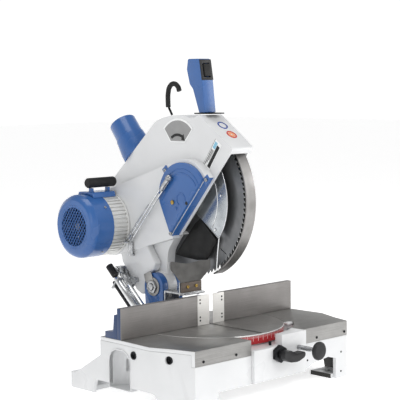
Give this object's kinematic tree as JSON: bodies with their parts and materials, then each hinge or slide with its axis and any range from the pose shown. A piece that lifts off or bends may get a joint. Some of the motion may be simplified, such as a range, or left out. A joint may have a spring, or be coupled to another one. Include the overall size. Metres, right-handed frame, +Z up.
{
  "type": "mitre saw on stand",
  "caption": "Chop and mitre saw with a belt-driven head on a hinge, a turntable with a mitre scale, split fence and a cast bench base.",
  "frame": {"origin": "on the turntable's axis at bench level, under the feet", "axes": "+Z up, +X to the operator's right along the fence, -Y towards the operator"},
  "size_m": [0.536, 0.6235, 0.7144],
  "materials": {
    "white enamel": "semi-gloss white paint",
    "blue enamel": "semi-gloss blue paint",
    "machined cast iron": "ground, lightly oiled",
    "aluminium": "satin",
    "bright steel": "bright",
    "polished steel": "polished sheet",
    "blade steel": "fine circular grinding",
    "black plastic": "moulded",
    "black rubber": "matt",
    "red scale": "printed band",
    "dark bar": "browned steel"
  },
  "bodies": {
    "base": {"base_casting": "white enamel", "table_left": "machined cast iron", "table_right": "machined cast iron", "front_block": "white enamel", "fence_left": "machined cast iron", "fence_right": "machined cast iron", "fence_insert_left": "aluminium", "fence_insert_right": "aluminium", "fence_bracket_left": "blue enamel", "fence_bracket_right": "blue enamel", "scale_pointer": "black plastic"},
    "lock": {"lock_screw": "bright steel", "lock_lever": "black plastic"},
    "index": {"index_plunger": "bright steel", "index_knob": "black plastic"},
    "table_rotor": {"turntable": "machined cast iron", "mitre_scale": "red scale", "hinge_bracket": "blue enamel", "hinge_pin": "bright steel", "hinge_nut": "bright steel", "deflector_bracket": "aluminium", "deflector_bar": "dark bar", "deflector_flap": "black rubber", "stop_post": "bright steel"},
    "strut_barrel": {"strut_cylinder": "bright steel"},
    "strut_piston": {"strut_rod": "bright steel"},
    "head": {"head_housing": "white enamel", "right_cover": "white enamel", "belt_case": "white enamel", "arbor_cover": "blue enamel", "handle": "blue enamel", "handle_gasket": "black rubber", "switch_plate": "black plastic", "cable_hook": "black rubber", "dust_outlet": "blue enamel", "motor_frame": "aluminium", "fan_cover": "blue enamel", "fan_grille": "blue enamel", "terminal_box": "blue enamel", "carry_grip": "black rubber", "tie_rod_long": "bright steel", "tie_rod_bracket": "bright steel", "strut_plate": "bright steel", "bearing_housing": "aluminium", "arbor_bearing": "bright steel", "drive_belt": "black rubber"},
    "trigger_body": {"trigger": "black plastic"},
    "arbor": {"saw_blade": "blade steel", "inner_flange": "bright steel", "outer_flange": "bright steel", "arbor_shaft": "bright steel", "arbor_screw": "bright steel", "arbor_pulley": "aluminium"},
    "rotor": {"motor_rotor": "bright steel", "motor_pulley": "aluminium", "cooling_fan": "black plastic"},
    "guard": {"guard_left_sector": "polished steel", "guard_right_shell": "aluminium", "guard_stay": "bright steel", "guard_flap": "black rubber"}
  },
  "joints": [
    {"name": "lock_turn", "type": "hinge", "parent": "base", "child": "lock", "pos_m": [0, -0.204, 0.088], "axis": [0, -1, 0], "range_deg": [0, 70]},
    {"name": "index_pull", "type": "slide", "parent": "base", "child": "index", "axis": [0, -1, 0], "range_m": [0, 0.008], "stiffness_N_per_m": 400, "springref_m": -0.005},
    {"name": "mitre_turn", "type": "hinge", "parent": "base", "child": "table_rotor", "pos_m": [0, 0, 0.126], "axis": [0, 0, 1], "range_deg": [-45, 45]},
    {"name": "chop", "type": "hinge", "parent": "table_rotor", "child": "head", "pos_m": [0, 0.121, 0.204], "axis": [1, 0, 0], "range_deg": [0, 52], "stiffness_Nm_per_rad": 20, "springref_deg": -34.38, "deforming": ["deflector_flap"]},
    {"name": "strut_swing", "type": "hinge", "parent": "table_rotor", "child": "strut_barrel", "pos_m": [-0.079, 0.124, 0.14], "axis": [1, 0, 0], "range_deg": [0, 35]},
    {"name": "strut_extend", "type": "slide", "parent": "strut_barrel", "child": "strut_piston", "axis": [0, 0.7433, 0.669], "range_m": [0, 0.0325]},
    {"name": "trigger_press", "type": "slide", "parent": "head", "child": "trigger_body", "axis": [0, 0.9814, -0.192], "range_m": [0, 0.0025], "stiffness_N_per_m": 600, "springref_m": -0.002},
    {"name": "arbor_spin", "type": "hinge", "parent": "head", "child": "arbor", "pos_m": [0, 0.06346, 0.40336], "axis": [1, 0, 0], "continuous": true},
    {"name": "rotor_spin", "type": "hinge", "parent": "head", "child": "rotor", "pos_m": [0, 0.276, 0.337], "axis": [1, 0, 0], "continuous": true},
    {"name": "guard_lift", "type": "hinge", "parent": "head", "child": "guard", "pos_m": [0, 0.06346, 0.40336], "axis": [1, 0, 0], "range_deg": [-61, 0]}
  ],
  "couplings": [
    {"joint": "strut_swing", "follows": "chop", "ratio": 0.6558},
    {"joint": "strut_extend", "follows": "chop", "m_per_rad": 0.034716},
    {"joint": "guard_lift", "follows": "chop", "ratio": -1.1538},
    {"joint": "rotor_spin", "follows": "arbor_spin", "ratio": 0.7857}
  ]
}
